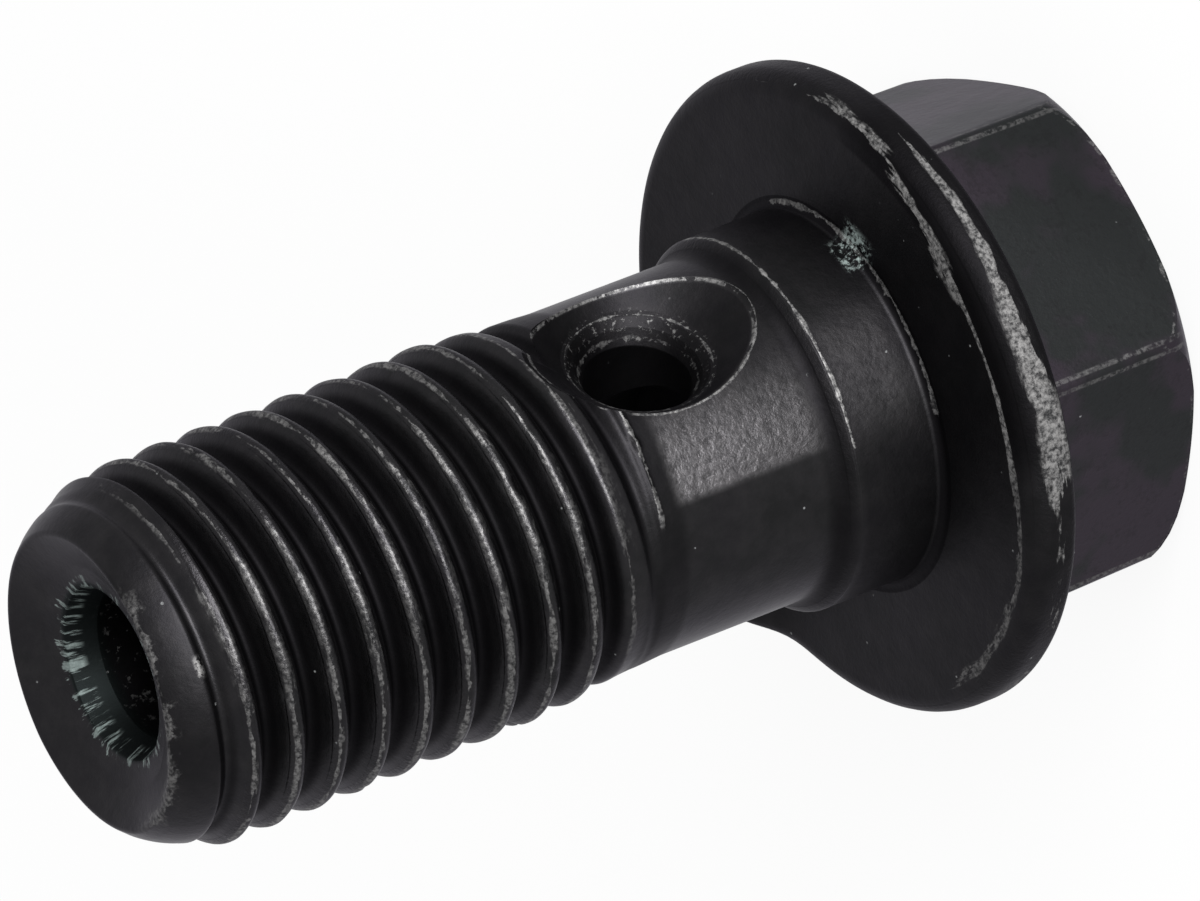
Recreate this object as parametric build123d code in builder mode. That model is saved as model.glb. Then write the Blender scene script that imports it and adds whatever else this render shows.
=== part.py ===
"""Banjo bolt, M10 x 1.25: flanged hexagon bolt, drilled down its middle and across its shank.

It is one piece of steel: a forged head, a rolled thread, an axial bore from the thread end and
a cross hole that meets it. The bolt stands on its head. The origin is the middle of the head's
flat end, +Z runs up the bolt to the thread end, and +X looks out of the cross hole.
Lengths are in millimetres, angles in degrees, and heights called "under" are measured from the
flange's bearing face towards the thread end.
"""

import os
from math import atan2, ceil, cos, degrees, radians, sqrt, tan

from build123d import *

# Hexagon head
across_flats = 12.0  # halfway up the hexagon
head_height = 6.9  # from the flat end of the head to the bearing face
hex_turn = 1.5  # how far a corner of the hexagon lies past the cross hole
hex_edge_chamfer = 0.12
hex_draft = 1.0  # by which its flats lean out towards the flange
crown_radius = 1.2  # from the sides to the flat end

# Flange
flange_diameter = 17.25
flange_thickness = 1.9
flange_back_rise = 0.68  # slope of the flange's back between its rim and the hexagon
flange_front_chamfer = 0.25
flange_back_chamfer = 0.15

# Collar and shank
collar_diameter = 9.93
collar_length = 2.45
collar_root_chamfer = 0.25
shank_diameter = 9.08
shank_step_length = 0.4  # slope from the shank out to the collar's sharp edge

# Rolled thread
nominal_diameter = 10.0
crest_drop = 0.115  # from the nominal size to the top of a crest
pitch = 1.25
crest_width = 0.29  # of the flat on top of a crest
root_width = 0.19  # of the flat at the bottom of the groove
flank_half_angle = 30.0
crest_fall_under = 8.0  # where the crests have come down to the shank
crest_fall_length = 3.0
last_groove_under = 8.68  # where the last groove at full depth ends
last_groove_turn = 15.0  # and in which direction about the axis
runout_turns = 0.5

# Thread end
length_under_head = 22.2
end_diameter = 9.08
first_crest_under = 20.1  # where the first full crest starts
first_crest_length = 0.7  # over which the crests before it fall to the end's diameter
end_face_depth = 0.58  # slope of the end face from its rim to its outer corner
end_corner_chamfer = 0.55
rim_diameter = 7.4
rim_chamfer = 0.15
dish_diameter = 4.5
dish_depth = 0.78

# Axial bore
bore_diameter = 3.86
bore_under = 4.6  # where its full width ends
bore_sink_angle = 45.0
drill_point_angle = 118.0

# Cross hole, right through the shank with a sink at each end
cross_hole_under = 6.12
cross_hole_diameter = 2.76
cross_sink_diameter = 6.1
cross_sink_angle = 100.0
cross_lead_diameter = 3.23
cross_lead_angle = 60.0

# Clearance by which a cutting shape stands past what it cuts
overcut = 0.06

# Sizes and heights that follow from those above
bearing_z = head_height
flange_back_z = bearing_z - flange_thickness
flange_rim_z = flange_back_z + flange_back_rise
collar_z = bearing_z + collar_length
crest_fall_z = bearing_z + crest_fall_under
first_crest_z = bearing_z + first_crest_under
groove_end_z = bearing_z + last_groove_under
tip_z = bearing_z + length_under_head
dish_z = tip_z - dish_depth
end_corner_z = tip_z - end_face_depth
bore_end_z = bearing_z + bore_under
cross_hole_z = bearing_z + cross_hole_under
flange_radius = flange_diameter / 2
collar_radius = collar_diameter / 2
shank_radius = shank_diameter / 2
crest_radius = nominal_diameter / 2 - crest_drop
groove_depth = (pitch - crest_width - root_width) / 2 / tan(radians(flank_half_angle))
root_radius = crest_radius - groove_depth
end_radius = end_diameter / 2
rim_radius = rim_diameter / 2
dish_radius = dish_diameter / 2
bore_radius = bore_diameter / 2

# The hexagon's corners at the flat end and where the flats, leaning out, reach the flange
hex_spread = flange_back_z / 2 * tan(radians(hex_draft))
hex_end_radius = (across_flats - 2 * hex_spread) / sqrt(3)
hex_flange_radius = (across_flats + 2 * hex_spread) / sqrt(3)

# Corners of the turned profile: radius and height of each, and its chamfer
profile_chamfers = (
    (flange_radius, flange_rim_z, flange_back_chamfer),
    (flange_radius, bearing_z, flange_front_chamfer),
    (collar_radius, bearing_z, collar_root_chamfer),
    (end_radius, end_corner_z, end_corner_chamfer),
    (rim_radius, tip_z, rim_chamfer),
)

# The centre sink of the bore opens at the bottom of the dish
bore_mouth_z = dish_z - (dish_radius - bore_radius) / tan(radians(bore_sink_angle / 2))
sink_rise = dish_depth * tan(radians(bore_sink_angle / 2))
drill_point_length = bore_radius / tan(radians(drill_point_angle / 2))

# How far from the axis the cross hole's sink narrows to its lead
cross_sink_depth = (cross_sink_diameter - cross_lead_diameter) / 2 / tan(radians(cross_sink_angle / 2))
cross_lead_reach = shank_radius - cross_sink_depth

# The thread's groove is cut one turn at a time by a shape that starts along +X at height zero,
# and its runout by one more, which climbs out of the metal as it goes down
groove_reach = groove_depth + overcut
groove_root_half = root_width / 2
groove_top_half = groove_root_half + groove_reach * tan(radians(flank_half_angle))
groove_turns = ceil((tip_z - groove_end_z) / pitch) + 1
runout_height = runout_turns * pitch
runout_angle = degrees(atan2(groove_reach, runout_height))


def groove_section(path):
    """The groove's trapezoid, square to the start of its path and open side outwards."""
    start = path @ 0
    square = Plane(start, x_dir=(start.X, start.Y, 0), z_dir=path % 0)
    with BuildSketch(square) as section:
        with BuildLine():
            Polyline(
                (0, -groove_root_half),
                (groove_reach, -groove_top_half),
                (groove_reach, groove_top_half),
                (0, groove_root_half),
                close=True,
            )
        make_face()
    return section.sketch


with BuildPart() as groove_turn:
    with BuildLine() as turn_path:
        Helix(pitch, pitch, root_radius)
    sweep(groove_section(turn_path.line), path=turn_path.line, is_frenet=True)

with BuildPart() as groove_runout:
    with BuildLine() as runout_path:
        Helix(
            pitch / cos(radians(runout_angle)),
            runout_height,
            root_radius + groove_reach,
            center=(0, 0, -runout_height),
            cone_angle=-runout_angle,
        )
    sweep(groove_section(runout_path.line), path=runout_path.line, is_frenet=True)

with BuildPart() as bolt:
    # Flange, collar, shank, thread blank and dished end, turned as one profile
    with BuildSketch(Plane.XZ) as profile:
        with BuildLine():
            Polyline(
                (0, flange_back_z),
                (hex_flange_radius, flange_back_z),
                (flange_radius, flange_rim_z),
                (flange_radius, bearing_z),
                (collar_radius, bearing_z),
                (collar_radius, collar_z),
                (shank_radius, collar_z + shank_step_length),
                (shank_radius, crest_fall_z),
                (crest_radius, crest_fall_z + crest_fall_length),
                (crest_radius, first_crest_z),
                (end_radius, first_crest_z + first_crest_length),
                (end_radius, end_corner_z),
                (rim_radius, tip_z),
                (dish_radius, dish_z),
                (0, dish_z),
                close=True,
            )
        make_face()
        for corner_radius, corner_z, length in profile_chamfers:
            chamfer(profile.vertices().sort_by_distance((corner_radius, corner_z))[0], length)
    revolve(axis=Axis.Z)

    # Thread groove, from its last full turn up past the end, and its runout below
    for turn in range(groove_turns):
        with Locations(Location((0, 0, groove_end_z + turn * pitch), (0, 0, last_groove_turn))):
            add(groove_turn.part, mode=Mode.SUBTRACT)
    runout_start_turn = last_groove_turn - 360 * runout_turns
    with Locations(Location((0, 0, groove_end_z), (0, 0, runout_start_turn))):
        add(groove_runout.part, mode=Mode.SUBTRACT)

    # Hexagon head, its corners rounded off to the flat end
    with BuildSketch() as hexagon:
        RegularPolygon(hex_end_radius, 6, rotation=hex_turn)
        chamfer(hexagon.vertices(), hex_edge_chamfer)
    head_blank = extrude(amount=flange_back_z + overcut, taper=-hex_draft, mode=Mode.PRIVATE)
    with BuildSketch(Plane.XZ) as crown:
        with BuildLine():
            Polyline(
                (0, 0),
                (hex_end_radius, 0),
                (hex_flange_radius, flange_back_z),
                (hex_flange_radius, bearing_z),
                (0, bearing_z),
                close=True,
            )
        make_face()
        fillet(crown.vertices().sort_by_distance((hex_end_radius, 0))[0], crown_radius)
    crown_blank = revolve(axis=Axis.Z, mode=Mode.PRIVATE)
    add(head_blank & crown_blank)

    # Axial bore with its centre sink at the dished end and a drill point at the bottom
    with BuildSketch(Plane.XZ):
        with BuildLine():
            Polyline(
                (0, tip_z),
                (dish_radius + sink_rise, tip_z),
                (dish_radius, dish_z),
                (bore_radius, bore_mouth_z),
                (bore_radius, bore_end_z),
                (0, bore_end_z - drill_point_length),
                close=True,
            )
        make_face()
    revolve(axis=Axis.Z, mode=Mode.SUBTRACT)

    # Cross hole through the shank, sunk at both ends
    for side in (1, -1):
        with Locations(Plane((side * shank_radius, 0, cross_hole_z), z_dir=(side, 0, 0))):
            CounterSinkHole(
                cross_hole_diameter / 2,
                cross_sink_diameter / 2,
                depth=shank_radius,
                counter_sink_angle=cross_sink_angle,
            )
        with Locations(Plane((side * cross_lead_reach, 0, cross_hole_z), z_dir=(side, 0, 0))):
            CounterSinkHole(
                cross_hole_diameter / 2,
                cross_lead_diameter / 2,
                depth=cross_lead_reach,
                counter_sink_angle=cross_lead_angle,
            )

bolt.part.label = "banjo_bolt"
os.makedirs("parts", exist_ok=True)
export_step(bolt.part, "parts/banjo_bolt.step")
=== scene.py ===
"""Banjo bolt: a worn black-oxide steel bolt, standing on its head, with its floor, lamp and camera.

Lengths in the script are millimetres until a mesh is finished, then it is scaled to metres.
"Under" is a distance from the flange's bearing face towards the thread end, and angles are
degrees about the bolt's axis from +X, the direction that the cross hole looks in.
"""

import random
from math import atan2, cos, degrees, exp, floor, hypot, pi, radians, sin, tan

import bmesh
import bpy
from mathutils import Matrix, Vector, noise


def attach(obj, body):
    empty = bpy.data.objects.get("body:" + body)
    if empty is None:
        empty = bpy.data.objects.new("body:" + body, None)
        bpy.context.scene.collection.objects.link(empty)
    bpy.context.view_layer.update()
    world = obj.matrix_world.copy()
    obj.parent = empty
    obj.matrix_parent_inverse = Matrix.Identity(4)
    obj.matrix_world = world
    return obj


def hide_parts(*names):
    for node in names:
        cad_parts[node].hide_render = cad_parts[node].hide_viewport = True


MM = 0.001

# Sizes of the bolt
BEARING = 6.9
HEX_FLATS = 12.13
HEX_TURN = 1.5
HEX_DRAFT = 1.0
HEX_EDGE = 0.2
CROWN = 1.28
FLANGE_RADIUS = 8.585
FLANGE_THICK = 1.9
FLANGE_RISE = 0.68
COLLAR_RADIUS = 4.965
COLLAR_LENGTH = 2.45
SHANK_RADIUS = 4.57
CREST_RADIUS = 4.885
GROOVE_ROOT = 4.218
PITCH = 1.25
ROOT_HALF = 0.095
LAST_GROOVE_UNDER = 8.68
LAST_GROOVE_TURN = 15.0
RUNOUT_TURNS = 0.5
RIDGE_UNDER = 7.97  # of the burr beside the runout
LENGTH_UNDER = 22.2
RIM_RADIUS = 3.86
DISH_RADIUS = 2.25
DISH_DEPTH = 0.78
BORE_RADIUS = 1.93
BORE_UNDER = 4.6
CROSS_UNDER = 6.12
CROSS_RADIUS = 1.38
LEAD_RADIUS = 1.615
SINK_RADIUS = 3.05

# Half angles of the thread's groove, the drill point and the three sinks
FLANK_ANGLE = 30
DRILL_ANGLE = 59
BORE_SINK_ANGLE = 22.5
LEAD_ANGLE = 30
SINK_ANGLE = 50

# How the thread's edges are rounded, and how it blends into the shank and the end
CREST_SWELL = 0.03  # by which the crests grow towards the end
CREST_ROUNDING = 0.26
GROOVE_ROUNDING = 0.16
RUNOUT_LIFT = 0.75  # by which the groove climbs along its runout
END_GROOVE_LIFT = 0.2  # and by which it is shallower near the end
END_SLOPE = 1.1  # by which the blank widens for each mm below its end
END_ROUNDING = 1.1

# The bolt's small errors, and the two sides they are measured along
SHOWN_SIDE = -52.4  # the side that faces the camera
UPPER_SIDE = 37.6  # the side that the camera sees as the upper one
LEAN_UP = 0.073  # the flange's lean: its rise, and its fall for each mm towards its low side
LEAN = 0.0544
KNOCK_ANGLE = 167  # where the flange's rim is knocked up, how far, and how wide in degrees
KNOCK_RISE = 1.05
KNOCK_SPREAD = 7
END_TILT = 0.03  # fall of the end for each mm beyond END_TILT_FROM towards the upper side
END_TILT_FROM = -1.5
SHANK_SHIFT = 0.03  # how far parts stand off the axis towards the upper side
THREAD_SHIFT = -0.08
RIM_SHIFT = -0.038

STEPS = 216  # of every turned and threaded surface
TOOL_STEPS = 128
THREAD_LOW = 7.3  # heights under the head between which the threaded shell runs
THREAD_HIGH = 21.75
LOW_JOIN = 0.08  # height of the band that joins the shell to the turned parts, below and above
HIGH_JOIN = 0.06
DRAW = 4  # steps of the thread's spin are made this much coarser, then cut finer
NICKS = 70  # small random ones in the crests
WAVINESS = 0.02
BURR_HEIGHT = 0.045  # of the ridge beside the runout, and its half width
BURR_WIDTH = 0.07
# Rows of points across half a pitch, from the middle of the groove, close where it curves
THREAD_ROWS = (0, 0.04, 0.08, 0.12, 0.16, 0.21, 0.26, 0.31, 0.345, 0.375, 0.4, 0.43, 0.465)


# ---- shaping helpers -------------------------------------------------------------------------


def ramp(value, low, high):
    """0 below low, 1 above high, and a smooth climb between."""
    part = min(max((value - low) / (high - low), 0.0), 1.0)
    return part * part * (3 - 2 * part)


def soft_min(a, b, reach):
    """The lower of two values, with a rounded change from one to the other over reach."""
    blend = max(reach - abs(a - b), 0.0) / reach
    return min(a, b) - blend * blend * reach / 4


def soft_max(a, b, reach):
    return -soft_min(-a, -b, reach)


def rounded(corners):
    """Profile points from (radius, height, rounding) corners."""
    points = []
    for index, (r, z, rounding) in enumerate(corners):
        here = Vector((r, z))
        if not rounding or index in (0, len(corners) - 1):
            points.append(here)
            continue
        before = (Vector(corners[index - 1][:2]) - here).normalized()
        after = (Vector(corners[index + 1][:2]) - here).normalized()
        half = before.angle(after) / 2
        reach = rounding / tan(half)
        middle = here + (before + after).normalized() * rounding / sin(half)
        first = here + before * reach - middle
        last = here + after * reach - middle
        sweep = first.angle_signed(last)
        count = max(3, round(abs(degrees(sweep)) / 12))
        for step in range(count + 1):
            turn = -sweep * step / count
            points.append(middle + Matrix.Rotation(turn, 2) @ first)
    return points


def lathe(points, steps=STEPS):
    """Spins a profile of (radius, height) points about Z."""
    bm = bmesh.new()
    verts = [bm.verts.new((r, 0, z)) for r, z in points]
    edges = [bm.edges.new(pair) for pair in zip(verts, verts[1:])]
    bmesh.ops.spin(
        bm,
        geom=verts + edges,
        cent=(0, 0, 0),
        axis=(0, 0, 1),
        angle=2 * pi,
        steps=steps,
        use_merge=True,
    )
    poles = [v for v in bm.verts if hypot(v.co.x, v.co.y) < 1e-4]
    bmesh.ops.remove_doubles(bm, verts=poles, dist=1e-3)
    return bm


def take_in(bm, part):
    """Adds one bmesh to another."""
    mesh = bpy.data.meshes.new("part")
    part.to_mesh(mesh)
    part.free()
    bm.from_mesh(mesh)
    bpy.data.meshes.remove(mesh)


def ring_at(bm, height):
    """The open edge loop that lies at one height."""
    return [
        e for e in bm.edges if e.is_boundary and all(abs(v.co.z - height) < 1e-3 for v in e.verts)
    ]


def as_object(bm, name):
    """Turns a bmesh into an object, its faces outwards."""
    bmesh.ops.recalc_face_normals(bm, faces=bm.faces)
    mesh = bpy.data.meshes.new(name)
    bm.to_mesh(mesh)
    bm.free()
    piece = bpy.data.objects.new(name, mesh)
    bpy.context.scene.collection.objects.link(piece)
    return piece


def carve(piece, tool, operation):
    """Joins, cuts or crops a piece with a tool object, which is then gone."""
    modifier = piece.modifiers.new("carve", "BOOLEAN")
    modifier.operation = operation
    modifier.solver = "EXACT"
    modifier.object = tool
    graph = bpy.context.evaluated_depsgraph_get()
    mesh = bpy.data.meshes.new_from_object(piece.evaluated_get(graph))
    piece.modifiers.clear()
    piece.data = mesh
    bpy.data.objects.remove(tool)


# ---- the bolt --------------------------------------------------------------------------------


def blank_radius(under):
    """Radius of the blank that the thread is rolled on, from the shank to the rounded end."""
    rise = CREST_RADIUS - SHANK_RADIUS
    r = SHANK_RADIUS + rise * (0.15 * ramp(under, 7.1, 8.1) + 0.85 * ramp(under, 8.0, 11.0))
    r += CREST_SWELL * ramp(under, 12.0, 18.0) - rise * ramp(under, 20.1, 21.1)
    end_slope = RIM_RADIUS + (LENGTH_UNDER - under) * END_SLOPE
    return soft_min(r, end_slope, END_ROUNDING)


def groove_radius(angle, under):
    """Radius of the rolled groove at a place.

    Below its last full turn it climbs out of the shank, and near the end it is shallower.
    """
    turns = (under - LAST_GROOVE_UNDER) / PITCH - (angle - LAST_GROOVE_TURN) / 360
    nearest = round(turns)
    across = abs(turns - nearest) * PITCH
    path = nearest + (angle - LAST_GROOVE_TURN) / 360
    lift = max(-path, 0.0) / RUNOUT_TURNS * RUNOUT_LIFT
    flank = GROOVE_ROOT + (across - ROOT_HALF) / tan(radians(FLANK_ANGLE))
    end_lift = END_GROOVE_LIFT * ramp(under, 20.2, 21.2)
    return soft_max(flank, GROOVE_ROOT, GROOVE_ROUNDING) + lift + end_lift


def nicks():
    """Dents on the crests: angle, distance under the head, length along and across, and depth."""
    chance = random.Random(7)
    dents = [
        (-34.6, 11.47, 0.3, 0.16, 0.1),
        (-32.0, 11.7, 0.12, 0.3, 0.06),
        (-50.0, 14.0, 0.35, 0.1, 0.05),
    ]
    for _ in range(NICKS):
        under = chance.uniform(9.5, 20.5)
        angle = chance.uniform(-180, 180)
        long, wide = chance.uniform(0.1, 0.35), chance.uniform(0.08, 0.2)
        dents.append((angle, under, long, wide, 0.05))
    return dents


def dent_depth(dents, angle, under):
    """How deep the dents are at a place."""
    depth = 0.0
    for middle, height, long, wide, deep in dents:
        if abs(under - height) < 3 * wide:
            along = ((angle - middle + 180) % 360 - 180) * pi / 180 * CREST_RADIUS
            depth += deep * exp(-((along / long) ** 2) - ((under - height) / wide) ** 2)
    return depth


def threaded_radius(dents, angle, under):
    """Radius of the threaded part, with its wavy dented crests and the burr beside its runout."""
    r = soft_min(blank_radius(under), groove_radius(angle, under), CREST_ROUNDING)
    waviness = WAVINESS * noise.noise(Vector((angle / 14, under * 0.8, 0)))
    on_crest = ramp(r, 4.5, 4.8)
    sway = 0.05 * sin(radians(angle * 6))
    burr = BURR_HEIGHT * exp(-(((under - RIDGE_UNDER - sway) / BURR_WIDTH) ** 2))
    burr *= ramp(angle, -66, -58) * (1 - ramp(angle, -16, -12))
    blob = 0.12 * exp(-(((angle + 35.5) / 1.5) ** 2) - ((under - RIDGE_UNDER) / 0.11) ** 2)
    return r + (waviness - dent_depth(dents, angle, under)) * on_crest + burr + blob


def thread_shell():
    """Threaded part: a line spun one turn while it climbs one pitch, sewn up, trimmed and rolled."""
    bm = bmesh.new()
    start = LAST_GROOVE_UNDER + LAST_GROOVE_TURN * PITCH / 360
    turns = range(floor((THREAD_LOW - start) / PITCH) - 1, floor((THREAD_HIGH - start) / PITCH) + 1)
    pattern = THREAD_ROWS + (0.5,) + tuple(1 - row for row in reversed(THREAD_ROWS[1:]))
    heights = [BEARING + start + (turn + row) * PITCH for turn in turns for row in pattern]
    verts = [bm.verts.new((SHANK_RADIUS, 0, z)) for z in heights]
    edges = [bm.edges.new(pair) for pair in zip(verts, verts[1:])]
    bmesh.ops.spin(
        bm,
        geom=verts + edges,
        cent=(0, 0, 0),
        axis=(0, 0, 1),
        dvec=(0, 0, PITCH * DRAW / STEPS),
        angle=2 * pi,
        steps=STEPS // DRAW,
    )
    around = [e for e in bm.edges if (e.verts[0].co.xy - e.verts[1].co.xy).length > 0.1]
    bmesh.ops.subdivide_edges(bm, edges=around, cuts=DRAW - 1, use_grid_fill=True)
    bmesh.ops.remove_doubles(bm, verts=bm.verts, dist=1e-3)
    for height, outward in ((THREAD_LOW, -1), (THREAD_HIGH, 1)):
        bmesh.ops.bisect_plane(
            bm,
            geom=bm.verts[:] + bm.edges[:] + bm.faces[:],
            dist=1e-4,
            plane_co=(0, 0, BEARING + height),
            plane_no=(0, 0, outward),
            clear_outer=True,
        )
    dents = nicks()
    for v in bm.verts:
        angle = degrees(atan2(v.co.y, v.co.x))
        r = threaded_radius(dents, angle, v.co.z - BEARING)
        v.co.x, v.co.y = r * cos(radians(angle)), r * sin(radians(angle))
    return bm


def turned_body():
    """Flange, collar, shank, thread, dished end and bore as one closed skin."""
    bm = thread_shell()
    back = BEARING - FLANGE_THICK
    core, overlap = 5.2, 0.6  # a plug that reaches into the head, for a clean union
    collar_top = BEARING + COLLAR_LENGTH
    lower = [
        (0, back - overlap, 0),
        (core, back - overlap, 0),
        (core, back, 0),
        (6.0, back, 0),
        (FLANGE_RADIUS, back + FLANGE_RISE, 0.3),
        (FLANGE_RADIUS, BEARING, 0.6),
        (COLLAR_RADIUS, BEARING, 0.25),
        (COLLAR_RADIUS, collar_top, 0.07),
        (SHANK_RADIUS, collar_top + 0.4, 0.5),
        (SHANK_RADIUS, BEARING + THREAD_LOW - LOW_JOIN, 0),
    ]
    tip = BEARING + LENGTH_UNDER
    dish = tip - DISH_DEPTH
    mouth = dish - (DISH_RADIUS - BORE_RADIUS) / tan(radians(BORE_SINK_ANGLE))
    bore_end = BEARING + BORE_UNDER
    join = THREAD_HIGH + HIGH_JOIN
    upper = [
        (blank_radius(join), BEARING + join, 0),
        (RIM_RADIUS, tip - 0.05, 0.15),
        (2.85, dish + 0.2, 0.9),
        (DISH_RADIUS, dish, 0.06),
        (BORE_RADIUS, mouth, 0.04),
        (BORE_RADIUS, bore_end, 0),
        (0, bore_end - BORE_RADIUS / tan(radians(DRILL_ANGLE)), 0),
    ]
    for profile in (lower, upper):
        take_in(bm, lathe(rounded(profile)))
    for low, high in ((THREAD_LOW - LOW_JOIN, THREAD_LOW), (THREAD_HIGH, join)):
        bmesh.ops.bridge_loops(bm, edges=ring_at(bm, BEARING + low) + ring_at(bm, BEARING + high))
    return as_object(bm, "bolt_body")


def hexagon_head():
    """Drafted hexagon with rounded edges, cropped by the rounded crown."""
    top = BEARING - FLANGE_THICK + 0.1
    spread = (BEARING - FLANGE_THICK) / 2 * tan(radians(HEX_DRAFT))
    low_radius = (HEX_FLATS - 2 * spread) / 3**0.5
    high_radius = (HEX_FLATS + 2 * spread) / 3**0.5
    bm = bmesh.new()
    turn = Matrix.Rotation(radians(HEX_TURN + 30), 4, "Z")
    bmesh.ops.create_circle(bm, cap_ends=True, segments=6, radius=low_radius, matrix=turn)
    lid = bmesh.ops.extrude_face_region(bm, geom=bm.faces[:])
    lid_verts = [item for item in lid["geom"] if isinstance(item, bmesh.types.BMVert)]
    grow = high_radius / low_radius
    bmesh.ops.scale(bm, vec=(grow, grow, 1), verts=lid_verts)
    bmesh.ops.translate(bm, vec=(0, 0, top), verts=lid_verts)
    uprights = [e for e in bm.edges if abs(e.verts[0].co.z - e.verts[1].co.z) > 1]
    bmesh.ops.bevel(
        bm,
        geom=uprights,
        offset=HEX_EDGE * tan(radians(30)),
        offset_type="OFFSET",
        affect="EDGES",
        segments=4,
        profile=0.5,
        material=-1,
    )
    head = as_object(bm, "head_hexagon")
    crown = [(0, 0, 0), (low_radius, 0, CROWN), (high_radius, top, 0), (0, top, 0)]
    carve(head, as_object(lathe(rounded(crown)), "head_crown"), "INTERSECT")
    return head


def cross_hole_tool():
    """Cutter for the cross hole: hole, lead and sink, at both sides of the shank."""
    sink_slope = tan(radians(SINK_ANGLE))
    lead_at = SHANK_RADIUS - (SINK_RADIUS - LEAD_RADIUS) / sink_slope
    hole_at = lead_at - (LEAD_RADIUS - CROSS_RADIUS) / tan(radians(LEAD_ANGLE))
    reach = 6.2
    wide = SINK_RADIUS + (reach - SHANK_RADIUS) * sink_slope
    lip_in, lip_out, lip_rise = 1.8, 1.95, 0.05  # a low lip round the lead
    side = [
        (CROSS_RADIUS, hole_at, 0.1),
        (LEAD_RADIUS, lead_at, 0.05),
        (lip_in, lead_at + (lip_in - LEAD_RADIUS) / sink_slope + lip_rise, 0.03),
        (lip_out, lead_at + (lip_out - LEAD_RADIUS) / sink_slope, 0.06),
        (wide, reach, 0),
        (0, reach, 0),
    ]
    far = [(r, -x, rounding) for r, x, rounding in reversed(side)]
    bm = lathe(rounded(far + side), TOOL_STEPS)
    bmesh.ops.rotate(bm, matrix=Matrix.Rotation(pi / 2, 3, "Y"), verts=bm.verts)
    bmesh.ops.translate(bm, vec=(0, 0, BEARING + CROSS_UNDER), verts=bm.verts)
    return as_object(bm, "cross_hole_tool")


def smooth_by_angle(piece, angle):
    piece.data.shade_smooth()
    piece.data.set_sharp_from_angle(angle=radians(angle))


def towards(point, angle):
    """How far a point lies from the axis towards an angle about it."""
    return point.x * cos(radians(angle)) + point.y * sin(radians(angle))


def settle(bm):
    """Gives the bolt its small errors.

    The flange leans and its rim is knocked up at one place, the end is out of square, and the
    shank, the thread and the rim stand a little off the axis.
    """
    for v in bm.verts:
        under = v.co.z - BEARING
        out = hypot(v.co.x, v.co.y)
        shown, upper = towards(v.co, SHOWN_SIDE), towards(v.co, UPPER_SIDE)
        rim = ramp(out, 5.4, 7.0) * ramp(under, -2.3, -1.7) * (under < 3)
        from_knock = (degrees(atan2(v.co.y, v.co.x)) - KNOCK_ANGLE) % 360
        from_knock = min(from_knock, 360 - from_knock)
        knock = KNOCK_RISE * exp(-((from_knock / KNOCK_SPREAD) ** 2)) * ramp(out, 6.5, 8.5)
        v.co.z += rim * (LEAN_UP - LEAN * shown + knock)
        v.co.z -= ramp(under, 19.0, 21.9) * END_TILT * max(upper - END_TILT_FROM, 0.0)
        shift = SHANK_SHIFT * ramp(under, 2.4, 3.2) + THREAD_SHIFT * ramp(under, 8.0, 13.0)
        shift += RIM_SHIFT * rim
        v.co.x += shift * cos(radians(UPPER_SIDE))
        v.co.y += shift * sin(radians(UPPER_SIDE))


def bolt():
    piece = turned_body()
    carve(piece, hexagon_head(), "UNION")
    carve(piece, cross_hole_tool(), "DIFFERENCE")
    bm = bmesh.new()
    bm.from_mesh(piece.data)
    bmesh.ops.remove_doubles(bm, verts=bm.verts, dist=2e-4)
    settle(bm)
    bmesh.ops.scale(bm, vec=(MM, MM, MM), verts=bm.verts)
    bm.to_mesh(piece.data)
    bm.free()
    smooth_by_angle(piece, 32)
    return piece


# ---- materials -------------------------------------------------------------------------------


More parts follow.
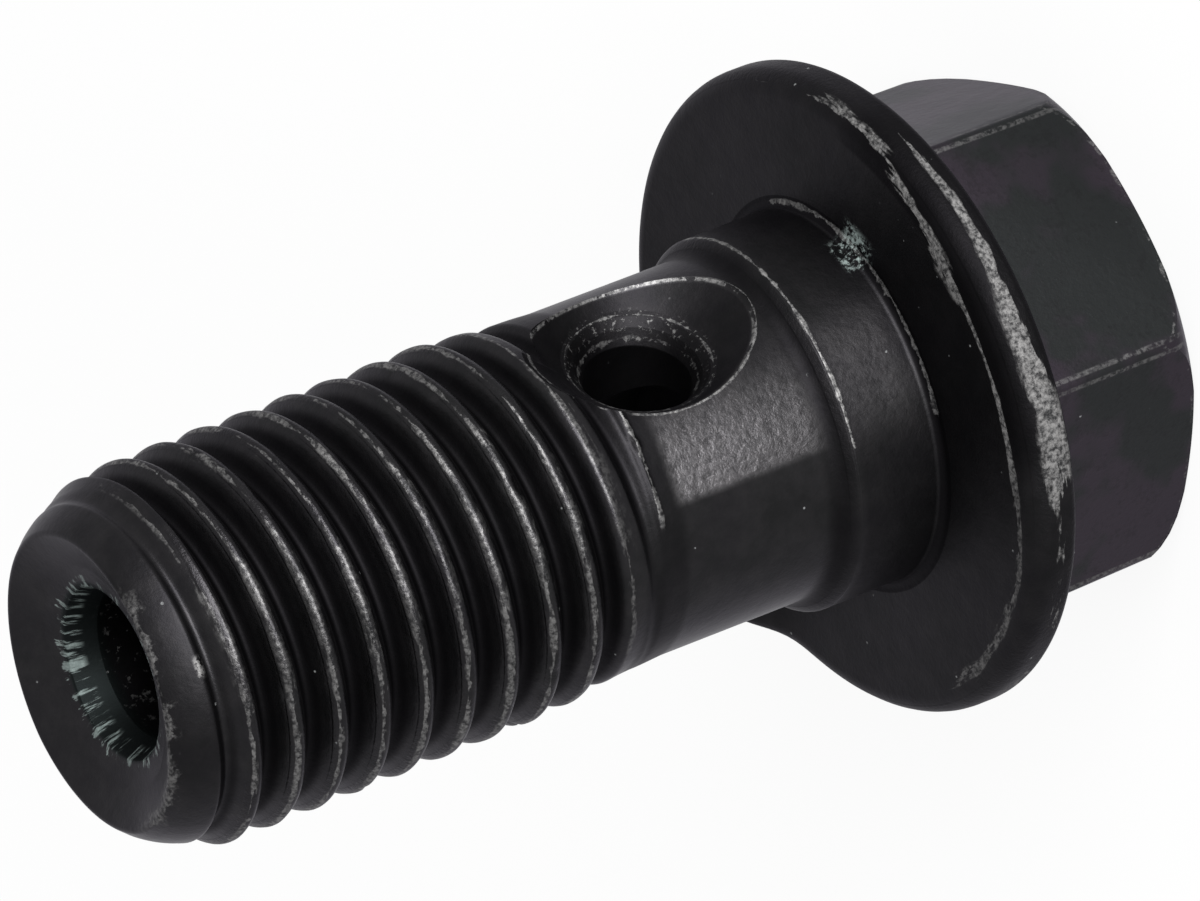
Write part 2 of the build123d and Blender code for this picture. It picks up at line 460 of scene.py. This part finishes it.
class Nodes:
    """Adds nodes to a tree, fed by sockets or numbers.

    Most calls give back the socket of the result. Those of add and group give back the node.
    """

    def __init__(self, tree):
        self.tree = tree

    def add(self, kind, **settings):
        node = self.tree.nodes.new("ShaderNode" + kind)
        for name, value in settings.items():
            setattr(node, name, value)
        return node

    def feed(self, socket, value):
        if isinstance(value, bpy.types.NodeSocket):
            self.tree.links.new(value, socket)
        else:
            socket.default_value = value

    def math(self, operation, *values):
        node = self.add("Math", operation=operation)
        for socket, value in zip(node.inputs, values):
            self.feed(socket, value)
        return node.outputs[0]

    def total(self, *values):
        if not any(isinstance(value, bpy.types.NodeSocket) for value in values):
            return sum(values)
        result = values[0]
        for value in values[1:]:
            result = self.math("ADD", result, value)
        return result

    def product(self, *values):
        result = values[0]
        for value in values[1:]:
            result = self.math("MULTIPLY", result, value)
        return result

    def most(self, *values):
        result = values[0]
        for value in values[1:]:
            result = self.math("MAXIMUM", result, value)
        return result

    def less(self, value, taken):
        return self.math("SUBTRACT", value, taken)

    def raised(self, base, *masks):
        """Base, plus each (mask, amount) multiplied."""
        return self.total(base, *(self.product(mask, amount) for mask, amount in masks))

    def strongest(self, *masks):
        """The highest of each (mask, strength) multiplied."""
        return self.most(*(self.product(mask, strength) for mask, strength in masks))

    def climb(self, value, low, high):
        """0 at low, 1 at high, smooth between; it falls where low is above high."""
        node = self.add("MapRange", interpolation_type="SMOOTHSTEP")
        self.feed(node.inputs["Value"], value)
        self.feed(node.inputs["From Min"], low)
        self.feed(node.inputs["From Max"], high)
        return node.outputs["Result"]

    def near(self, value, middle, flat, fade):
        """1 within flat of middle, and down to 0 over fade beyond that."""
        away = self.math("ABSOLUTE", self.less(value, middle))
        return self.climb(away, self.total(flat, fade), flat)

    def between(self, value, low, high, fade):
        rises = self.climb(value, low - fade, low + fade)
        falls = self.climb(value, high + fade, high - fade)
        return self.product(rises, falls)

    def noise(self, place, scale, detail, roughness):
        node = self.add("TexNoise")
        self.feed(node.inputs["Vector"], place)
        node.inputs["Scale"].default_value = scale
        node.inputs["Detail"].default_value = detail
        node.inputs["Roughness"].default_value = roughness
        return node.outputs["Fac"]

    def mix(self, share, first, second):
        node = self.add("Mix", data_type="RGBA")
        self.feed(node.inputs["Factor"], share)
        self.feed(node.inputs["A"], first)
        self.feed(node.inputs["B"], second)
        return node.outputs["Result"]

    def split(self, vector):
        """The three sockets of a vector's parts."""
        node = self.add("SeparateXYZ")
        self.feed(node.inputs[0], vector)
        return node.outputs

    def join(self, *parts):
        node = self.add("CombineXYZ")
        for socket, part in zip(node.inputs, parts):
            self.feed(socket, part)
        return node.outputs[0]

    def group(self, tree, **values):
        node = self.add("Group", node_tree=tree)
        for name, value in values.items():
            self.feed(node.inputs[name], value)
        return node


def new_group(name, takes, gives):
    """A node group with named inputs and outputs, and its nodes' helper."""
    tree = bpy.data.node_groups.new(name, "ShaderNodeTree")
    for title, kind, value in takes:
        socket = tree.interface.new_socket(title, in_out="INPUT", socket_type=kind)
        socket.default_value = value
    for title, kind in gives:
        tree.interface.new_socket(title, in_out="OUTPUT", socket_type=kind)
    start = tree.nodes.new("NodeGroupInput")
    end = tree.nodes.new("NodeGroupOutput")
    return tree, Nodes(tree), start.outputs, end.inputs


def bolt_place():
    """Where a point is on the bolt: millimetres, radius, distance under the head and angle."""
    number = "NodeSocketFloat"
    gives = [("Place", "NodeSocketVector"), ("Radius", number), ("Under", number), ("Angle", number)]
    tree, n, _, end = new_group("bolt place", [], gives)
    coordinates = n.add("TexCoord")
    scale = n.add("VectorMath", operation="SCALE")
    n.feed(scale.inputs[0], coordinates.outputs["Object"])
    scale.inputs["Scale"].default_value = 1 / MM
    x, y, z = n.split(scale.outputs[0])
    radius = n.math("SQRT", n.total(n.product(x, x), n.product(y, y)))
    n.feed(end["Place"], scale.outputs[0])
    n.feed(end["Radius"], radius)
    n.feed(end["Under"], n.less(z, BEARING))
    n.feed(end["Angle"], n.math("DEGREES", n.math("ARCTAN2", y, x)))
    return tree


def broken_line():
    """Mask of a worn line: 1 along Across = 0 within Width, broken up by noise.

    Cover is its share of bare metal, 0 to 1, and Coarse and Fine are the noises that break it.
    """
    number = "NodeSocketFloat"
    takes = [
        ("Coarse", number, 0.5),
        ("Fine", number, 0.5),
        ("Across", number, 0.0),
        ("Width", number, 0.1),
        ("Cover", number, 0.5),
    ]
    tree, n, start, end = new_group("broken line", takes, [("Mask", number)])
    coarse, fine = start["Coarse"], start["Fine"]
    ragged = n.total(n.product(coarse, 0.55), n.product(fine, 0.45))
    sway = n.product(n.total(fine, coarse, -1.0), start["Width"], 1.5)
    away = n.math("ABSOLUTE", n.total(start["Across"], sway))
    width = n.product(start["Width"], n.raised(0.3, (n.climb(coarse, 0.35, 0.65), 0.9)))
    share = n.math("DIVIDE", away, width)
    inside = n.climb(share, 1.5, 0.8)
    bar = n.raised(0.75, (start["Cover"], -0.55), (n.climb(share, 0.2, 1.2), 0.11))
    solid = n.climb(n.less(ragged, bar), -0.02, 0.06)
    n.feed(end["Mask"], n.product(inside, solid))
    return tree


# Colours of the finish with its painted shade and painted reflection, and of what shows where it is
# worn or corroded
REFLECTION_TINT = (0.7, 0.69, 0.72, 1)
OXIDE_VIOLET = (0.0185, 0.0178, 0.0197, 1)
OXIDE_GREY = (0.0173, 0.0174, 0.018, 1)
OXIDE_PALE = (0.026, 0.025, 0.0265, 1)
OXIDE_GRAIN = (0.01, 0.01, 0.0105, 1)
# The head's own tints, painted lighter than the rest as painted reflection
HEAD_LIT_VIOLET = (0.037, 0.0305, 0.039, 1)
HEAD_LIT_GREEN = (0.0235, 0.0255, 0.026, 1)
HEAD_PITS = (0.012, 0.012, 0.0125, 1)
BORE_GREEN = (0.02, 0.03, 0.028, 1)
# Colour of the painted shade
PAINTED_SHADE_BLACK = (0.002, 0.0018, 0.0022, 1)
# Colours of the painted reflection of a softbox on the shank and collar
PAINTED_REFLECTION_DARK = (0.095, 0.092, 0.096, 1)
PAINTED_REFLECTION_PALE = (0.115, 0.11, 0.114, 1)
STEEL_DARK = (0.025, 0.025, 0.026, 1)
STEEL_PALE = (0.2, 0.197, 0.195, 1)
CRUST_DARK = (0.09, 0.12, 0.115, 1)
CRUST_PALE = (0.42, 0.5, 0.48, 1)
SPECK = (0.13, 0.135, 0.135, 1)


class Surface(Nodes):
    """Nodes of the finish: where a point is on the bolt, and the patterns that its wear shares."""

    def __init__(self, tree):
        super().__init__(tree)
        self.place, self.radius, self.under, self.angle = self.group(bolt_place()).outputs
        x, y, z = self.split(self.place)

        # Distances from the bolt's middle along the cross hole, and from the cross hole's axis
        level = self.less(z, BEARING + CROSS_UNDER)
        self.out = self.math("ABSOLUTE", x)
        self.ring = self.math("SQRT", self.raised(self.product(y, y), (level, level)))

        # Height on the leaning flange
        turn = radians(SHOWN_SIDE)
        shown = self.raised(self.product(x, cos(turn)), (y, sin(turn)))
        self.leaning = self.total(self.under, self.product(shown, LEAN), -LEAN_UP)

        # Patterns, and those of worn lines: plain ones, and ones drawn out round the bolt
        self.along = self.join(self.product(self.angle, 0.03), self.under, self.radius)
        self.broad = self.noise(self.place, 0.3, 3, 0.6)
        self.middle = self.noise(self.place, 1.3, 5, 0.65)
        self.fine = self.noise(self.place, 7.0, 3, 0.7)
        self.grain = self.noise(self.place, 16.0, 2, 0.6)
        self.leather = self.noise(self.place, 4.5, 6, 0.65)
        self.ragged = self.raised(self.product(self.middle, 0.5), (self.fine, 0.5))
        self.line = broken_line()
        self.plain_pair, self.drawn_pair = (
            (self.noise(spot, 1.6, 4, 0.65), self.noise(spot, 6.5, 3, 0.7))
            for spot in (self.place, self.along)
        )

    def broken(self, pair, across, width, cover):
        coarse, fine = pair
        values = {"Coarse": coarse, "Fine": fine, "Across": across, "Width": width, "Cover": cover}
        return self.group(self.line, **values).outputs[0]

    def worn(self, across, width, cover):
        """A worn line with round flecks."""
        return self.broken(self.plain_pair, across, width, cover)

    def drawn(self, across, width, cover):
        """A worn line with flecks drawn out round the bolt."""
        return self.broken(self.drawn_pair, across, width, cover)


def thread_wear(s):
    """Strands of bare metal on the crests, most of all on the shown side, and their two edges."""
    turns = s.less(
        s.math("DIVIDE", s.less(s.under, LAST_GROOVE_UNDER), PITCH),
        s.math("DIVIDE", s.less(s.angle, LAST_GROOVE_TURN), 360.0),
    )
    side = s.less(turns, s.math("ROUND", turns))  # from the middle of a groove, in pitches
    crest = s.product(s.math("ABSOLUTE", side), 2.0)
    facing = s.near(s.angle, -46.0, 6.0, 30.0)
    below = s.climb(s.angle, -50.0, -75.0)
    strands = s.less(s.noise(s.along, 3.2, 5, 0.7), s.raised(0.62, (facing, -0.18)))
    top = s.product(s.climb(crest, 0.6, 0.78), s.climb(strands, 0.0, 0.1))
    upper_edge = s.drawn(s.less(side, -0.42), 0.055, s.raised(0.54, (below, 0.12)))
    lower_edge = s.drawn(s.less(side, 0.43), 0.03, s.raised(0.25, (facing, 0.3)))
    wear = s.strongest((top, 0.62), (upper_edge, 0.72), (lower_edge, 0.48))
    on_thread = s.product(s.between(s.under, 9.0, 21.0, 0.3), s.climb(s.radius, 4.55, 4.7))
    return s.product(on_thread, wear, s.raised(1.0, (facing, -0.56)))


def ridge_wear(s):
    """The burr that the last groove leaves beside its runout."""
    ridge = s.worn(s.less(s.under, RIDGE_UNDER), 0.055, 0.75)
    return s.product(ridge, s.between(s.angle, -62.0, -14.0, 2.0), 0.8, s.climb(s.radius, 4.4, 4.5))


def painted_reflection_patches(s):
    """Painted reflection of a softbox: a bright leathery patch on the shank beside the cross hole, and
    a fainter one on the collar.
    """
    shank = s.product(
        s.between(s.under, 3.1, 7.3, 0.25),
        s.climb(s.angle, -59.5, -56.0),
        s.climb(s.angle, -14.0, -54.0),
        s.near(s.radius, SHANK_RADIUS, 0.08, 0.1),
        s.raised(0.55, (s.climb(s.under, 3.0, 6.6), 0.45)),
    )
    collar = s.product(
        s.between(s.under, 0.5, 2.35, 0.3),
        s.near(s.angle, -38.0, 8.0, 16.0),
        s.near(s.radius, COLLAR_RADIUS, 0.06, 0.1),
        0.16,
    )
    return s.most(shank, collar)


def sink_highlight_and_wear(s):
    """Painted highlight along the rim of the cross hole's sink, in place of a rounded edge, and the
    worn burr and flecks round the hole's mouth.
    """
    slope = tan(radians(SINK_ANGLE))
    cone = s.raised(SINK_RADIUS - SHANK_RADIUS * slope, (s.out, slope))
    # Painted highlight on the sink's sharp rim
    rim = s.product(
        s.worn(s.less(s.ring, cone), 0.04, 0.68),
        s.near(s.radius, SHANK_RADIUS, 0.02, 0.04),
        s.climb(s.ring, 2.0, 2.2),
        0.75,
    )
    burr = s.most(
        s.worn(s.less(s.ring, 1.86), 0.035, 0.55),
        s.product(s.worn(s.less(s.ring, 1.5), 0.05, 0.5), 0.8),
        s.product(s.climb(s.fine, 0.58, 0.68), s.between(s.ring, 1.6, 1.95, 0.1), 0.8),
    )
    return s.most(rim, s.product(burr, s.near(s.out, 3.4, 0.3, 0.15), 0.6))


def flange_wear(s):
    """Both edges of the flange's rim, the line at the collar's foot and the collar's edge."""
    low_side = s.climb(s.angle, -62.0, -80.0)
    inward, outward = s.climb(s.angle, 4.0, -34.0), s.climb(s.angle, -60.0, -95.0)
    front_radius = s.raised(8.32, (inward, -0.6), (outward, 0.25))
    front_width = s.raised(0.07, (s.between(s.angle, -36.0, 14.0, 10.0), 0.15), (low_side, 0.09))
    front_cover = s.raised(0.3, (s.between(s.angle, -135.0, 16.0, 8.0), 0.42), (low_side, -0.14))
    front = s.product(
        s.drawn(s.less(s.radius, front_radius), front_width, front_cover),
        s.between(s.leaning, -0.35, 0.1, 0.05),
        s.raised(1.0, (low_side, -0.5)),
    )
    back_width = s.raised(0.09, (s.climb(s.angle, -20.0, -50.0), 0.22))
    back_cover = s.raised(0.3, (s.between(s.angle, -74.0, -4.0, 8.0), 0.45))
    back = s.drawn(s.total(s.leaning, 0.7), back_width, back_cover)
    foot_cover = s.product(s.between(s.angle, -60.0, 42.0, 6.0), 0.85)
    foot = s.worn(s.less(s.radius, 5.14), 0.055, foot_cover)
    edge_cover = s.product(s.between(s.angle, -60.0, 46.0, 6.0), 0.8)
    edge = s.worn(s.less(s.under, 2.42), 0.045, edge_cover)
    return s.most(
        front,
        s.product(back, s.climb(s.radius, 8.45, 8.55)),
        s.product(foot, s.between(s.under, -0.1, 0.35, 0.05), 0.6),
        s.product(edge, s.between(s.radius, 4.8, 5.05, 0.03)),
    )


def end_wear(s):
    """Scuffs on the rim of the thread end, a flake on its shoulder, and flecks in the bore."""
    rim = s.worn(s.less(s.radius, 3.85), 0.2, 0.6)
    flake = s.climb(s.fine, 0.42, 0.5)
    flecks = s.climb(s.noise(s.place, 4.0, 3, 0.7), 0.6, 0.66)
    rim_side = s.near(s.angle, -75.0, 45.0, 20.0)
    flake_spot = s.product(s.near(s.angle, -51.0, 1.5, 3.0), s.near(s.under, 21.12, 0.04, 0.12))
    in_bore = s.product(s.climb(s.radius, 2.0, 1.95), s.between(s.under, 18.0, 20.5, 0.3))
    return s.most(
        s.product(rim, rim_side, s.between(s.under, 21.5, 22.3, 0.1), 0.5),
        s.product(flake, flake_spot),
        s.product(flecks, in_bore, 0.4),
    )


def head_wear(s):
    """Upright edges of the hexagon, and the edge where its crown starts."""
    hex_angle = s.math("PINGPONG", s.less(s.angle, HEX_TURN), 30.0)
    uprights = s.product(
        s.near(hex_angle, 1.2, 0.3, 0.35),
        s.climb(s.under, -1.8, -2.0),
        s.climb(s.radius, 6.6, 6.75),
        s.climb(s.ragged, 0.4, 0.5),
    )
    past = s.math("POWER", s.less(s.radius, 5.68), 2.0)
    crown_rise = s.less(CROWN, s.math("SQRT", s.most(s.less(CROWN**2, past), 0.0)))
    crown = s.worn(s.less(s.total(s.under, BEARING - 0.08), crown_rise), 0.07, 0.45)
    return s.strongest((uprights, 0.4), (s.product(crown, s.climb(s.radius, 6.0, 6.1)), 0.45))


def corrosion(s):
    """A pale stain at the collar's foot, and pale radial scratches where the bore's sink starts."""
    stain = s.product(
        s.near(s.angle, -4.0, 3.0, 6.0),
        s.near(s.radius, 5.25, 0.25, 0.3),
        s.between(s.under, -0.1, 0.5, 0.1),
        s.climb(s.ragged, 0.46, 0.56),
    )
    turn = s.math("RADIANS", s.angle)
    x, y = (s.product(s.math(kind, turn), 9.0) for kind in ("COSINE", "SINE"))
    streaks = s.noise(s.join(x, y, s.product(s.radius, 1.2)), 1.0, 4, 0.7)
    reach = s.raised(0.06, (s.less(streaks, 0.4), 1.1))
    centre = s.raised(2.22, (s.less(s.middle, 0.5), 0.3))
    scratches = s.product(
        s.near(s.radius, centre, reach, 0.06),
        s.between(s.under, 21.0, 21.75, 0.1),
        s.climb(streaks, 0.51, 0.6),
    )
    return s.strongest((stain, 0.6), (scratches, 0.45))


def painted_shade_and_dullness(s, flange, bore_sink):
    """Painted shade, with a duller finish: the colour is darkened and the finish made duller in the
    grooves, on the flange, in the sinks, on the collar and on the end's shoulder.
    """
    groove = s.product(s.climb(s.radius, 4.66, 4.4), s.between(s.under, 8.3, 20.7, 0.2))
    foot = s.strongest(
        (s.between(s.under, 2.5, 3.1, 0.25), 1.4),
        (s.between(s.under, 7.35, 8.6, 0.15), 0.8),
    )
    band_side = s.between(s.angle, -72.0, 10.0, 12.0)
    rim_band = s.product(flange, s.between(s.radius, 7.6, 8.65, 0.15), band_side)
    inside = s.climb(s.radius, SHANK_RADIUS - 0.04, SHANK_RADIUS - 0.1)
    in_sink = s.product(inside, s.near(s.under, CROSS_UNDER, 2.9, 0.3))
    root = s.product(s.between(s.radius, 4.98, 5.3, 0.03), s.between(s.under, -0.2, 0.3, 0.05))
    end = s.product(s.climb(s.under, 20.6, 21.2), s.near(s.angle, -50.0, 25.0, 35.0))
    return s.strongest(
        (groove, 0.8),
        (foot, 0.5),
        (rim_band, 0.8),
        (bore_sink, 0.7),
        (end, 0.4),
        (flange, 0.45),
        (in_sink, 0.52),
        (s.between(s.under, 0.2, 2.35, 0.2), 0.35),
        (root, 0.85),
    )


def specks(s, flange):
    """Stray specks, closer together on the flange."""
    cells = s.add("TexVoronoi")
    s.feed(cells.inputs["Vector"], s.place)
    cells.inputs["Scale"].default_value = 1.5
    pick = s.add("SeparateColor")
    s.feed(pick.inputs[0], cells.outputs["Color"])
    chosen = s.climb(s.raised(pick.outputs[0], (flange, 0.25)), 0.72, 0.74)
    dot = s.climb(cells.outputs["Distance"], 0.075, 0.035)
    return s.product(dot, chosen, s.climb(s.fine, 0.4, 0.55))


def oxide_colour(s, bore_sink, shade_and_dullness):
    """The black oxide: mottled, tinted otherwise in the bore's sink, tinted violet and green on the
    head and painted lighter there as painted reflection, and darkened by painted shade.
    """
    tint = s.mix(s.climb(s.broad, 0.4, 0.6), OXIDE_VIOLET, OXIDE_GREY)
    oxide = s.mix(s.climb(s.middle, 0.3, 0.75), tint, OXIDE_PALE)
    oxide = s.mix(s.product(s.grain, 0.35), oxide, OXIDE_GRAIN)
    # The head's flats, painted lighter as painted reflection
    lit_flats = s.mix(s.climb(s.broad, 0.44, 0.56), HEAD_LIT_VIOLET, HEAD_LIT_GREEN)
    lit_flats = s.mix(s.product(s.climb(s.ragged, 0.5, 0.62), 0.3), lit_flats, HEAD_PITS)
    oxide = s.mix(s.product(s.climb(s.under, -1.5, -2.0), 0.8), oxide, lit_flats)
    oxide = s.mix(s.product(bore_sink, 0.6), oxide, BORE_GREEN)
    # Painted shade: darkens the oxide in the grooves, on the flange, in the sinks, on the collar and
    # on the end's shoulder
    return s.mix(shade_and_dullness, oxide, PAINTED_SHADE_BLACK)


def black_oxide():
    """Black oxide on steel: mottled and oily, worn to bare grey along its edges, a little corroded,
    with painted shade, painted reflection and a painted highlight.
    """
    material = bpy.data.materials.new("black_oxide_steel")
    material.use_nodes = True
    tree = material.node_tree
    shader = tree.nodes["Principled BSDF"]
    shader.inputs["Specular Tint"].default_value = REFLECTION_TINT
    s = Surface(tree)

    flange = s.product(s.between(s.leaning, -1.4, 0.4, 0.2), s.climb(s.radius, 4.99, 5.04))
    bore_sink = s.product(s.climb(s.radius, 2.4, 2.25), s.between(s.under, 20.4, 21.6, 0.15))
    # Painted shade, which also makes the finish duller
    shade_and_dullness = painted_shade_and_dullness(s, flange, bore_sink)
    # Patches of painted reflection of a softbox, which the relief also makes leathery
    reflection_patches = painted_reflection_patches(s)
    painted_reflection = s.product(reflection_patches, s.raised(0.4, (s.climb(s.leather, 0.3, 0.6), 0.6)))
    # Bare metal where it is worn, and the painted highlight on the sink's rim
    wear = (thread_wear, ridge_wear, sink_highlight_and_wear, flange_wear, end_wear, head_wear)
    bare_and_highlight = s.most(*(kind(s) for kind in wear))
    pale = corrosion(s)
    speck = specks(s, flange)

    colour = oxide_colour(s, bore_sink, shade_and_dullness)
    # Painted reflection of a softbox on the shank and the collar
    colour = s.mix(painted_reflection, colour, s.mix(s.middle, PAINTED_REFLECTION_DARK, PAINTED_REFLECTION_PALE))
    # Bare grey steel, and the painted highlight on the sink's rim
    colour = s.mix(bare_and_highlight, colour, s.mix(s.climb(s.fine, 0.32, 0.68), STEEL_DARK, STEEL_PALE))
    colour = s.mix(pale, colour, s.mix(s.fine, CRUST_DARK, CRUST_PALE))
    colour = s.mix(s.product(speck, 0.8), colour, SPECK)
    s.feed(shader.inputs["Base Color"], colour)

    dirt = s.most(pale, speck)
    s.feed(shader.inputs["Metallic"], s.raised(1.0, (dirt, -0.9)))
    roughness = s.raised(0.3, (s.most(bare_and_highlight, dirt), 0.2), (shade_and_dullness, 0.3), (s.broad, 0.1))
    s.feed(shader.inputs["Roughness"], roughness)

    # Relief: orange peel, leathery under the painted reflection patches, rough on the crests and the
    # flange's rim
    rough = s.most(s.near(s.radius, 4.84, 0.07, 0.04), s.near(s.radius, 8.5, 0.15, 0.05))
    height = s.raised(
        s.product(s.middle, 0.25),
        (s.grain, 0.03),
        (s.leather, s.raised(0.12, (reflection_patches, 0.75))),
        (s.fine, s.raised(0.06, (rough, 0.25))),
    )
    bump = s.add("Bump")
    bump.inputs["Strength"].default_value = 0.5
    bump.inputs["Distance"].default_value = 0.12 * MM
    s.feed(bump.inputs["Height"], height)
    s.feed(shader.inputs["Normal"], bump.outputs["Normal"])
    return material


# ---- room, lamp and camera -------------------------------------------------------------------

FLOOR_HALF = 3  # metres
FLOOR_GLOW = 0.88  # share of the floor that seen rays find as plain white
ROOM_LIGHT = 0.6  # strength of the white room as a light, of 1 where it is seen
CAMERA_PLACE = (0.24727996, -0.22702597, 0.18068715)
CAMERA_TURN = (-0.62416637, 0.98938805, -1.45635223)
FOCAL_LENGTH = 450
LAMP_AIM = Vector((0, 0, 0.014))
LAMP_SIDE = Vector((0.8, -0.5, 0.2))
LAMP_DISTANCE = 0.6
LAMP_SIZE = (0.34, 0.64)
LAMP_POWER = 12


def seen_rays(n):
    """1 for rays that the camera and reflections send out, 0 for those that light the bolt."""
    rays = n.add("LightPath").outputs
    return n.most(rays["Is Camera Ray"], rays["Is Glossy Ray"], rays["Is Transmission Ray"])


def studio_white():
    """Pale floor that the camera and reflections see as white, with a faint shadow kept."""
    material = bpy.data.materials.new("studio_floor")
    material.use_nodes = True
    tree = material.node_tree
    shader = tree.nodes["Principled BSDF"]
    shader.inputs["Base Color"].default_value = (0.85, 0.85, 0.85, 1)
    shader.inputs["Roughness"].default_value = 0.9
    n = Nodes(tree)
    glow = n.add("Emission")
    blend = n.add("MixShader")
    n.feed(blend.inputs["Fac"], n.product(seen_rays(n), FLOOR_GLOW))
    n.feed(blend.inputs[1], shader.outputs[0])
    n.feed(blend.inputs[2], glow.outputs[0])
    n.feed(tree.nodes["Material Output"].inputs["Surface"], blend.outputs[0])
    return material


def floor_plane():
    bm = bmesh.new()
    bmesh.ops.create_grid(bm, x_segments=8, y_segments=8, size=FLOOR_HALF)
    piece = as_object(bm, "floor")
    piece.data.materials.append(studio_white())


def world_light():
    """White all round for the camera and reflections, and a plain soft light for the rest."""
    world = bpy.data.worlds.new("studio")
    bpy.context.scene.world = world
    world.use_nodes = True
    tree = world.node_tree
    n = Nodes(tree)
    soft = tree.nodes["Background"]
    soft.inputs["Color"].default_value = (1, 1, 1, 1)
    n.feed(soft.inputs["Strength"], n.raised(ROOM_LIGHT, (seen_rays(n), 1 - ROOM_LIGHT)))


def softbox(name, middle, aim, across, size, power):
    """A rectangular lamp at middle that faces aim, with its long side along across (metres)."""
    lamp = bpy.data.lights.new(name, "AREA")
    lamp.shape = "RECTANGLE"
    lamp.size, lamp.size_y = size
    lamp.energy = power
    away = (middle - aim).normalized()
    side = (across - across.dot(away) * away).normalized()
    up = away.cross(side)
    holder = bpy.data.objects.new(name, lamp)
    turn = Matrix((side, up, away)).transposed().to_4x4()
    holder.matrix_world = Matrix.Translation(middle) @ turn
    bpy.context.scene.collection.objects.link(holder)


def camera():
    lens = bpy.data.cameras.new("camera")
    lens.lens = FOCAL_LENGTH
    lens.sensor_width = 36
    lens.clip_start = 0.01
    holder = bpy.data.objects.new("camera", lens)
    holder.location = CAMERA_PLACE
    holder.rotation_euler = CAMERA_TURN
    bpy.context.scene.collection.objects.link(holder)
    bpy.context.scene.camera = holder


# ---- the scene -------------------------------------------------------------------------------

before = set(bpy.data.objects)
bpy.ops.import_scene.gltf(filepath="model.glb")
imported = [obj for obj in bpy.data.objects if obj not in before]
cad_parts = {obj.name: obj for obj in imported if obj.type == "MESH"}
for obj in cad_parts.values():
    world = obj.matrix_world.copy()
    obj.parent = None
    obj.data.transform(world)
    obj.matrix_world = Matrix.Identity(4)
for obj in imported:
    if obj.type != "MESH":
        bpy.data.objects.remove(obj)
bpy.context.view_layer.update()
bpy.context.scene.view_settings.view_transform = "Standard"

body = bolt()
body.data.materials.clear()
body.data.materials.append(black_oxide())
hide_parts("banjo_bolt")
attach(body, "root")

floor_plane()
world_light()
camera()
lamp_place = LAMP_AIM + LAMP_SIDE.normalized() * LAMP_DISTANCE
softbox("side softbox", lamp_place, LAMP_AIM, Vector((0, 0, 1)), LAMP_SIZE, LAMP_POWER)
